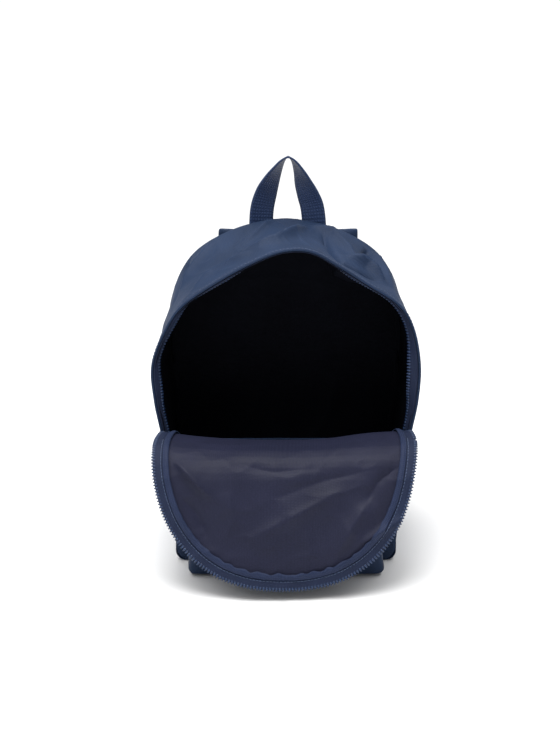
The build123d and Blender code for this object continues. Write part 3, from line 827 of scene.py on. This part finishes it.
def floor_surface(across, up):
    x = (across * 2 - 1) * 126
    corner = max(0.0, abs(x) - (BASE_HALF - CORNER)) / CORNER
    z = 3.4 + CORNER * (1 - cos(asin(min(1.0, corner)))) + 0.8 * noise.noise(Vector((x / 40, up * 4, 2)))
    return Vector((x, FRONT + 3 + (DEPTH - 12) * up, z))


floor_inside = cloth_sheet("base_lining_cloth", 80, 30, floor_surface, 260, 138)
thicken(floor_inside, 0.6)
sew_on(floor_inside, shaded_lining_cloth, "lining_fabric")


# The seam allowance at the back corner stands up inside, bound over.
def back_seam_place(a, inset, height):
    return gusset_place(0.02 + 0.96 * a, 140.5 + height, -4.5 - inset)


back_binding = strip("back_seam_binding_tape", 300, 4, 0.0, lambda a: 6 + 0.8 * sin(a * 150),
                     lambda a, u: 0.8 * sin(a * 90 + u), back_seam_place, 6, 950)
thicken(back_binding, 1.6, 0.0)
sew_on(back_binding, shaded_lining_cloth, "binding_tape", "back_seam_binding")

# ----------------------------------------------------------------------
# Lower front: the stretch of the front that stays up behind the pocket, with its lining, and outside it the
# closed ends of the main zip, each under a folded tab.
# ----------------------------------------------------------------------


def lower_front_depth(x, z):
    return -75.6 - toe(z) - 0.8 * noise.noise(Vector((x / 40, z / 40, 9)))


def lower_lining_depth(x, z):
    return -72.4 - toe(z)


lower_front = cloth_sheet("lower_front_cloth", 90, 50,
                          lambda a, u: panel_place(FRONT_HALVES, 0.8, 151, 0.3, lower_front_depth, a, u),
                          286, 150)
thicken(lower_front, 1.0, 0.0)
sew_on(lower_front, outer_cloth, "outer_fabric", "lower_front_panel")

lower_inside = cloth_sheet("lower_front_lining_cloth", 60, 40,
                           lambda a, u: panel_place(FRONT_HALVES, 3, 149, 4, lower_lining_depth, a, u),
                           280, 146)
thicken(lower_inside, 0.6, 0.0)
sew_on(lower_inside, shaded_lining_cloth, "lining_fabric", "lower_front_lining", "front_seam_binding")

LEG_X = 131.0
LEG_Y = -81.0
LEG_LOW, LEG_HIGH = 93.0, 149.0
MESHED_TOOTH = [((0, 0.4, 0), (1.5, 3.6, 2.6), 0.4)]

# Die-cast zinc, lacquered dark: small dull highlights on rounded edges.
zinc = bpy.data.materials.new("dark lacquered zinc, die cast")
zinc.use_nodes = True
zinc_shader = zinc.node_tree.nodes["Principled BSDF"]
zinc_place = add_node(zinc, "ShaderNodeTexCoord", {}, {}).outputs["Object"]
zinc_noise = add_node(zinc, "ShaderNodeTexNoise", {}, {"Vector": zinc_place, "Scale": 420.0, "Detail": 4.0})
zinc_rough = add_node(zinc, "ShaderNodeMapRange", {},
                      {"Value": zinc_noise.outputs["Fac"], "To Min": 0.25, "To Max": 0.5})
zinc_bump = add_node(zinc, "ShaderNodeBump", {}, {"Height": zinc_noise.outputs["Fac"], "Distance": 0.00005})
zinc.node_tree.links.new(zinc_rough.outputs[0], zinc_shader.inputs["Roughness"])
zinc.node_tree.links.new(zinc_bump.outputs[0], zinc_shader.inputs["Normal"])
zinc_shader.inputs["Base Color"].default_value = linear("#4a5364")
zinc_shader.inputs["Metallic"].default_value = 0.9


def rounded_bars(name, bars, rounding, segments=3, turn=Matrix.Identity(4)):
    """One piece made of rounded bars, each a low and a high corner in millimetres, then put through turn."""
    bm = bmesh.new()
    for low, high in bars:
        size = Vector(high) - Vector(low)
        place = Matrix.Translation((Vector(low) + Vector(high)) / 2) @ Matrix.Diagonal((*size, 1))
        bar = bmesh.ops.create_cube(bm, size=1, matrix=place)["verts"]
        edges = list({edge for vert in bar for edge in vert.link_edges})
        limit = min(rounding, 0.45 * min(size))
        bmesh.ops.bevel(bm, geom=edges, offset=limit, segments=segments, affect="EDGES", profile=0.5,
                        material=-1)
    bmesh.ops.transform(bm, matrix=Matrix.Scale(0.001, 4) @ turn, verts=bm.verts)
    for face in bm.faces:
        face.smooth = True
    return keep_mesh(bm, name)


def zip_slider(word, middle, upright, body):
    """Two plates about the teeth, joined at one end, with the bridge that the pull's pin runs under."""
    x, y, z = middle
    wide, tall = (6.0, 8.0) if upright else (8.0, 6.0)
    nose = ((x - wide + 0.4, y - 2.4, z + 3), (x + wide - 0.4, y + 2.4, z + tall - 0.5))
    bridge = ((x - 1.6, y - 6.4, z - 4), (x + 1.6, y - 2.0, z + 4))
    if not upright:
        nose = ((x + 3, y - 2.4, z - tall + 0.4), (x + wide - 0.5, y + 2.4, z + tall - 0.4))
        bridge = ((x - 4, y - 6.4, z - 1.6), (x + 4, y - 2.0, z + 1.6))
    plates = [
        ((x - wide, y - 3.1, z - tall), (x + wide, y - 1.6, z + tall)),
        ((x - wide, y + 1.6, z - tall), (x + wide, y + 3.1, z + tall)),
        nose,
        bridge,
    ]
    slider = rounded_bars(f"{word}_zip_slider", plates, 1.4)
    sew_on(slider, zinc, "zip_metal", f"{word}_slider", body=body)


def zip_pull(word, pin, body):
    """A flat tab with a raised edge, hung by two arms from the pin."""
    x, y, z = pin
    bars = [
        ((x - 4, y - 0.8, z - 0.8), (x + 4, y + 0.8, z + 0.8)),
        ((x - 4, y - 0.9, z - 6.5), (x - 2.4, y + 0.9, z + 0.8)),
        ((x + 2.4, y - 0.9, z - 6.5), (x + 4, y + 0.9, z + 0.8)),
        ((x - 3.6, y - 0.45, z - 31), (x + 3.6, y + 0.45, z - 6)),
        ((x - 4, y - 0.95, z - 31.5), (x - 2.9, y + 0.95, z - 5)),
        ((x + 2.9, y - 0.95, z - 31.5), (x + 4, y + 0.95, z - 5)),
        ((x - 4, y - 0.95, z - 31.5), (x + 4, y + 0.95, z - 30.3)),
        ((x - 4, y - 0.95, z - 7), (x + 4, y + 0.95, z - 5.6)),
    ]
    pull = rounded_bars(f"{word}_zip_pull_tab", bars, 0.7, 2)
    sew_on(pull, zinc, "zip_metal", f"{word}_pull", body=body)


for word, side in (("left", -1), ("right", 1)):
    x = side * LEG_X
    leg_tape = cloth_sheet(f"{word}_zip_leg_tape", 10, 30,
                           lambda a, u: Vector((x + (a - 0.5) * 23, LEG_Y + 1.0 + 1.2 * abs(a - 0.5) * 2,
                                                LEG_LOW + (LEG_HIGH - LEG_LOW) * u)), 23, 56)
    thicken(leg_tape, 0.8, 0.0)
    sew_on(leg_tape, tape_cloth, "zip_tape")
    frames = []
    for k in range(int((LEG_HIGH - LEG_LOW) / PITCH * 2)):
        lean = 1 if k % 2 else -1
        place = Vector((x + lean * 1.4, LEG_Y, LEG_LOW + 2 + k * PITCH / 2))
        frames.append(stood(place, Vector((0, 0, 1)), Vector((lean, 0, 0))))
    leg_teeth = blocks(f"{word}_zip_leg_teeth", frames, MESHED_TOOTH)
    sew_on(leg_teeth, teeth_plastic, "zip_teeth")
    tab = cloth_sheet(f"{word}_zip_end_tab", 12, 10,
                      lambda a, u: Vector((x + (a - 0.5) * 20, -83.4 - 0.6 * sin(pi * a), 84.5 + 13 * u)),
                      20, 13)
    thicken(tab, 1.6, -1.0)
    sew_on(tab, outer_cloth, "binding_tape")
    if side > 0:
        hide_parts("zip_leg_tape")
        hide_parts("zip_leg_teeth")
        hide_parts("zip_end_tabs")

for word, side in (("left", -1), ("right", 1)):
    zip_slider(word, (side * LEG_X, LEG_Y, 124.0), True, f"{word}_zip_slider")
    zip_pull(word, (side * LEG_X, -86.2, 124.0), f"{word}_zip_pull")

# ----------------------------------------------------------------------
# Front pocket: a soft box of the outer cloth, empty and slumped, sewn to the lower front. A zip of the same
# teeth runs across its face near the top, and is shut.
# ----------------------------------------------------------------------
POCKET_HALF, POCKET_TOP, POCKET_FRONT = 113.0, 126.0, -128.5
POCKET_ZIP = 104.0


def blown(piece, voxel, pressure, cap, still=None):
    """Remeshes a closed piece and fills it like sewn cloth, moving no point further than cap millimetres.
    Points for which still says True are held."""
    remesh = piece.modifiers.new("remesh", "REMESH")
    remesh.mode = "VOXEL"
    remesh.voxel_size = voxel / 1000
    even = bpy.data.meshes.new_from_object(piece.evaluated_get(bpy.context.evaluated_depsgraph_get()))
    piece.modifiers.clear()
    piece.data = even
    cloth = piece.modifiers.new("cloth", "CLOTH")
    cloth.settings.quality = 6
    cloth.settings.mass = 0.25
    cloth.settings.tension_stiffness = 12
    cloth.settings.compression_stiffness = 12
    cloth.settings.bending_stiffness = 0.6
    cloth.settings.use_pressure = True
    cloth.settings.uniform_pressure_force = pressure
    cloth.settings.effector_weights.gravity = 0
    cloth.point_cache.frame_start = 1
    cloth.point_cache.frame_end = 20
    if still:
        held = piece.vertex_groups.new(name="held")
        held.add([v.index for v in even.vertices if still(v.co * 1000)], 1.0, "REPLACE")
        cloth.settings.vertex_group_mass = "held"
    for step in range(1, 21):
        bpy.context.scene.frame_set(step)
    full = bpy.data.meshes.new_from_object(piece.evaluated_get(bpy.context.evaluated_depsgraph_get()))
    for before, after in zip(even.vertices, full.vertices):
        moved = after.co - before.co
        if moved.length > cap / 1000:
            moved *= cap / 1000 / moved.length
        before.co = before.co + moved
    piece.modifiers.clear()
    piece.vertex_groups.clear()
    bpy.data.meshes.remove(full)
    bpy.context.scene.frame_set(1)
    for face in even.polygons:
        face.use_smooth = True


def soft_box(name, low, high, rounding, cuts, shape):
    """A rounded box, cut up finely, whose points shape then moves. Millimetres."""
    bm = bmesh.new()
    size = Vector(high) - Vector(low)
    place = Matrix.Translation((Vector(low) + Vector(high)) / 2) @ Matrix.Diagonal((*size, 1))
    bmesh.ops.create_cube(bm, size=1, matrix=place)
    bmesh.ops.bevel(bm, geom=bm.edges[:], offset=rounding, segments=3, affect="EDGES", profile=0.5,
                    material=-1)
    bmesh.ops.subdivide_edges(bm, edges=bm.edges[:], cuts=cuts, use_grid_fill=True)
    for vert in bm.verts:
        vert.co = shape(vert.co) / 1000
    return keep_mesh(bm, name)


def pocket_shape(p):
    """The empty pocket slumps: its front sags in towards the middle, and its top falls a little."""
    x, y, z = p
    forward = min(max((-77.5 - y) / 51, 0), 1)
    face = forward * (1 - (abs(x) / POCKET_HALF) ** 4)
    y += 4.5 * face * exp(-((z - 58) / 26) ** 2) - 1.5 * forward * exp(-((z - 12) / 16) ** 2)
    z -= 5.0 * forward * (z / POCKET_TOP) ** 3 * (1 - (abs(x) / POCKET_HALF) ** 2)
    y += forward * 2.4 * noise.noise(Vector((x / 38, z / 30, 7))) * (1 - exp(-((z - POCKET_ZIP) / 16) ** 2))
    x += forward * 2.0 * noise.noise(Vector((y / 20, z / 26, 2))) + 0.03 * x * exp(-(z / 20) ** 2)
    return Vector((x, y, max(z, 0.6)))


pocket = soft_box("front_pocket_cloth", (-POCKET_HALF + 3, POCKET_FRONT + 3, 1),
                  (POCKET_HALF - 3, -77.5, POCKET_TOP - 3), 7, 7, pocket_shape)
blown(pocket, 4.0, 1.2, 4, lambda p: p.y > -80 or p.z < 4 or (p.y < -118 and 92 < p.z < 116))
soften(pocket)
pocket_cloth = woven("navy 600 denier polyester, plain weave, remeshed",
                     "#223554", "#182841", 1.0, 0.25, 0.62, 0.06, axes="Object")
sew_on(pocket, pocket_cloth, "outer_fabric", "pocket_panel")


def pocket_tape_place(a, u):
    return Vector(((a - 0.5) * 198, -126.6 + 1.2 * (2 * u - 1) ** 4, POCKET_ZIP + (u - 0.5) * 24))


pocket_tape = cloth_sheet("pocket_zip_tape_cloth", 90, 10, pocket_tape_place, 198, 24)
thicken(pocket_tape, 0.8, 0.0)
sew_on(pocket_tape, tape_cloth, "zip_tape", "pocket_zip_tape")

pocket_frames = []
for k in range(int(192 / PITCH * 2)):
    lean = 1 if k % 2 else -1
    place = Vector((-96 + k * PITCH / 2, -127.5, POCKET_ZIP + lean * 1.4))
    pocket_frames.append(stood(place, Vector((1, 0, 0)), Vector((0, 0, lean))))
pocket_teeth = blocks("pocket_zip_teeth_row", pocket_frames, MESHED_TOOTH)
sew_on(pocket_teeth, teeth_plastic, "zip_teeth", "pocket_zip_teeth")
zip_slider("pocket", (82.0, -127.5, POCKET_ZIP), False, "pocket_zip_slider")
zip_pull("pocket", (82.0, -135.5, POCKET_ZIP), "pocket_zip_pull")

for row, z in (("low", POCKET_ZIP - 10.5), ("high", POCKET_ZIP + 10.5)):
    seam = row_along(lambda t: Vector((-97 + 194 * t, -127.0, z)),
                     lambda t: Vector((-97 + 194 * t, -127.0, z + 2)), 4.0)
    pocket_stitches = blocks(f"pocket_zip_stitches_{row}", seam, STITCH)
    sew_on(pocket_stitches, thread, "zip_tape")

# ----------------------------------------------------------------------
# Back: a padded panel of the outer cloth over 7 mm of foam, quilted down along two upright channels so that
# air can pass behind the wearer's back.
# ----------------------------------------------------------------------


def back_panel_depth(x, z):
    half = half_at(BACK_HALVES, min(z + 4, BACK_HALVES[-1][0]))
    edge = min(1.0, max(0.0, min(half - abs(x), z - 2)) / 14)
    channel = exp(-((abs(x) - 48) / 3.0) ** 2) * min(1.0, max(0.0, 306 - z) / 10)
    waves = 0.5 * noise.noise(Vector((x / 50, z / 50, 11)))
    return 75.2 + 2.2 * (1 - (1 - edge) ** 3) - 1.7 * channel + waves * edge * 0.5


back_panel = cloth_sheet("back_panel_cloth", 130, 130,
                         lambda a, u: panel_place(BACK_HALVES, 0.8, 378, 0.2, back_panel_depth, a, u),
                         290, 378)
thicken(back_panel, 1.2, -1.0)
sew_on(back_panel, outer_cloth, "outer_fabric", "back_panel")


def channel_place(x, side, t):
    z = 14 + 288 * t
    return Vector((side * x, back_panel_depth(side * 48, z) + 0.1, z))


for word, side in (("left", -1), ("right", 1)):
    channel = row_along(lambda t: channel_place(48, side, t), lambda t: channel_place(50, side, t), 4.2)
    channel_stitches = blocks(f"{word}_back_channel_stitches", channel, STITCH)
    sew_on(channel_stitches, thread, "outer_fabric")

# ----------------------------------------------------------------------
# Grab handle: 30 mm webbing, its feet flat on the back and its middle twisted edge-on by use. Its ends are
# sewn to the back panel and caught under the yoke.
# ----------------------------------------------------------------------
HANDLE_Y = 78.9
HANDLE_LINE = [(-30, 342), (-30, 368), (-28.6, 390), (-24, 408), (-18.5, 422), (-11.5, 436), (-4, 448),
               (3, 452.5), (10, 447), (16.5, 434), (21.5, 420), (27, 406), (32, 391), (34.5, 368),
               (34.5, 342)]

# Polypropylene webbing, ribbed across its length, with a waxy sheen. Its own colour is navy, drawn lighter
# as painted light for the light from above that the handle catches where it leans back; the straps' webbing
# shares it.
lightened_webbing_cloth = woven("navy polypropylene webbing, ribbed",
                      "#3c4f76", "#29395c", 1.7, 0.5, 0.5, 0.08, tone=0.35)


def ribbon(name, width, thickness, length, columns, line, spread):
    """A flat band of webbing: line gives its middle at a share of the way, spread runs across it."""
    def place(a, u):
        return Vector(line(a)) + Vector(spread(a)).normalized() * (u - 0.5) * width

    band = cloth_sheet(name, columns, 8, place, length, width)
    thicken(band, thickness, 0.0)
    sew_on(band, lightened_webbing_cloth, "webbing", body=None)
    return band


def handle_line(t):
    x, z = along(HANDLE_LINE, t)
    return x, HANDLE_Y - 3.0 * exp(-((t - 0.5) / 0.2) ** 2), z


def handle_spread(t):
    x1, z1 = along(HANDLE_LINE, t - 0.01)
    x2, z2 = along(HANDLE_LINE, t + 0.01)
    turn = radians(84) * exp(-((t - 0.5) / 0.27) ** 2)
    run = Vector((x2 - x1, 0, z2 - z1)).normalized()
    return Vector((run.z, 0, -run.x)) * cos(turn) + Vector((0, 1, 0)) * sin(turn)


handle = ribbon("grab_handle_webbing", 29, 2.2, 260, 180, handle_line, handle_spread)
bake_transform(handle)
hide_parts("grab_handle", "handle_ends")

# ----------------------------------------------------------------------
# Yoke and shoulder straps: the outer cloth sewn round 10 mm foam, the edges bound. Each strap ends in a loop
# of webbing that holds a ladder lock, and webbing runs from that down to a tab sewn in the base's corner.
# ----------------------------------------------------------------------
YOKE_Y = 80.4
SPLAY = radians(12)
STRAP_X, STRAP_Z = 54.0, 316.0
STRAP_LENGTH = 176.0

yoke = soft_box("strap_yoke_padded", (-84, 82.2, 319.5), (89, 88.4, 365.5), 2.8, 6, lambda p: Vector(p))
blown(yoke, 3.5, 3.0, 2.2)
soften(yoke)
sew_on(yoke, pocket_cloth, "outer_fabric", "strap_yoke")


def strap_place(side, u, s, y):
    """A place on a shoulder strap: u across it, s down it from the yoke, and y back from the bag."""
    x = side * (STRAP_X + s * sin(SPLAY)) + u * cos(SPLAY)
    return Vector((x, y, STRAP_Z - s * cos(SPLAY) + side * u * sin(SPLAY)))


def strap_bow(s):
    """How far the strap's near face stands off the back."""
    t = min(max((s - 10) / (STRAP_LENGTH - 10), 0), 1)
    return YOKE_Y + 80 * t - 64 * t * t


def strap_half(s):
    """Half width of the strap, drawn in at its lower end."""
    t = min(max((s - 138) / 38, 0), 1)
    return 29.0 - 12.0 * t * t * (3 - 2 * t)


def strap_shape(side, p):
    u, s, d = p
    half = strap_half(s) / 27 * 0.93
    thin = 1 - 0.55 * abs(u / 27) ** 3
    return strap_place(side, u * half, s, strap_bow(s) + 5.5 + (d - 5.5) * thin)


# Acetal ladder locks, moulded in navy with a fine spark-eroded grain.
lock_plastic = bpy.data.materials.new("navy acetal, moulded with a fine grain")
lock_plastic.use_nodes = True
lock_shader = lock_plastic.node_tree.nodes["Principled BSDF"]
lock_place = add_node(lock_plastic, "ShaderNodeTexCoord", {}, {}).outputs["Object"]
lock_noise = add_node(lock_plastic, "ShaderNodeTexNoise", {}, {"Vector": lock_place, "Scale": 1400.0})
lock_grain = lock_noise.outputs["Fac"]
lock_bump = add_node(lock_plastic, "ShaderNodeBump", {}, {"Height": lock_grain, "Distance": 0.00006})
lock_rough = add_node(lock_plastic, "ShaderNodeMapRange", {},
                      {"Value": lock_grain, "To Min": 0.35, "To Max": 0.55})
lock_plastic.node_tree.links.new(lock_bump.outputs[0], lock_shader.inputs["Normal"])
lock_plastic.node_tree.links.new(lock_rough.outputs[0], lock_shader.inputs["Roughness"])
lock_shader.inputs["Base Color"].default_value = linear("#1c2437")

LOCK_S = STRAP_LENGTH + 21
LOCK_Y = YOKE_Y + 21.5

for word, side in (("left", -1), ("right", 1)):
    strap = soft_box(f"{word}_strap_padded", (-27, -6, 1.6), (27, 174, 9.4), 3.2, 8,
                     lambda p: strap_shape(side, p))
    blown(strap, 3.5, 3.0, 2.2)
    soften(strap)
    low = strap_place(side, 0, 16, 86) / 1000
    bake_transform(strap)
    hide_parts(f"{word}_strap_cover", f"{word}_strap_foam")
    sew_on(strap, pocket_cloth, "outer_fabric", body=None)

    def bound_edge(a, u):
        """The binding wraps the strap's edge: down the left, round the end and up the right."""
        wrap = (u - 0.5) * pi * 1.1
        if a < 0.4 or a > 0.6:
            s = 10 + 160 * min(a, 1 - a) / 0.4
            out = (strap_half(s) + 2.2 * cos(wrap)) * (-1 if a < 0.5 else 1)
            return strap_place(side, out, s, strap_bow(s) + 5.5 + 3.4 * sin(wrap))
        end = (a - 0.5) / 0.1
        s = 170 + 5 * (1 - end ** 4)
        out = end * strap_half(s) * 0.98
        return strap_place(side, out, s + 2.2 * cos(wrap), strap_bow(s) + 5.5 + 3.4 * sin(wrap))

    edging = cloth_sheet(f"{word}_strap_binding", 160, 8, bound_edge, 380, 12)
    thicken(edging, 0.9, 0.0)
    sew_on(edging, binding_cloth, "binding_tape", body=f"{word}_strap")

    def across_strap(t):
        return strap_place(side, 1, 0, 0) - strap_place(side, 0, 0, 0)

    def loop_line(t):
        s = 136 + 47 * t
        return strap_place(side, 0, s, strap_bow(s) + 11.9 - 6.0 * max(0, t - 0.75) * 4)

    def tail_line(t):
        return strap_place(side, 1.5 * sin(3 * t), LOCK_S - 2 + 82 * t, LOCK_Y + 3.7 + 2.0 * sin(2.6 * t))

    loop = ribbon(f"{word}_strap_end_webbing", 24, 1.5, 60, 24, loop_line, across_strap)
    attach(loop, f"{word}_strap")
    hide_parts(f"{word}_strap_end_loop")

    middle = strap_place(side, 0, LOCK_S, LOCK_Y)
    turn = Matrix.Translation(middle) @ Matrix.Rotation(-side * SPLAY, 4, "Y")
    rails = [((-19, -2.4, -13), (-13.4, 2.4, 13)), ((13.4, -2.4, -13), (19, 2.4, 13))]
    rails += [((-14, -2.0, z), (14, 2.0, z + 3.6)) for z in (9.4, 1.2, -6.2, -13)]
    lock = rounded_bars(f"{word}_ladder_lock_frame", rails, 1.3, 3, turn)
    sew_on(lock, lock_plastic, "buckle_plastic", f"{word}_ladder_lock", body=f"{word}_adjuster")

    tail = ribbon(f"{word}_webbing_tail_end", 24, 1.5, 84, 40, tail_line, across_strap)
    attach(tail, f"{word}_adjuster")
    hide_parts(f"{word}_webbing_tail")

    high = strap_place(side, 0, LOCK_S - 8, LOCK_Y - 3.4)
    foot = Vector((side * 118, 81.6, 32))
    lower = ribbon(f"{word}_lower_webbing_run", 24, 1.5, 90, 60,
                   lambda t: foot.lerp(high, t) + Vector((0, -2.5 * sin(pi * t), 0)), across_strap)
    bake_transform(lower)
    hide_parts(f"{word}_lower_webbing")

    corners = [Vector((side * 96, 78.9, 12)), Vector((side * 118, 78.9, 8)), Vector((side * 130, 78.9, 30)),
               Vector((side * 108, 78.9, 46))]
    tab = cloth_sheet(f"{word}_strap_tab", 16, 20,
                      lambda a, u: corners[0].lerp(corners[1], a).lerp(corners[3].lerp(corners[2], a), u),
                      25, 38)
    thicken(tab, 2.2, 0.0)
    sew_on(tab, outer_cloth, "outer_fabric", f"{word}_strap_anchor")

# Bounds of everything drawn, leaving out the backdrop.
low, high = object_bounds()
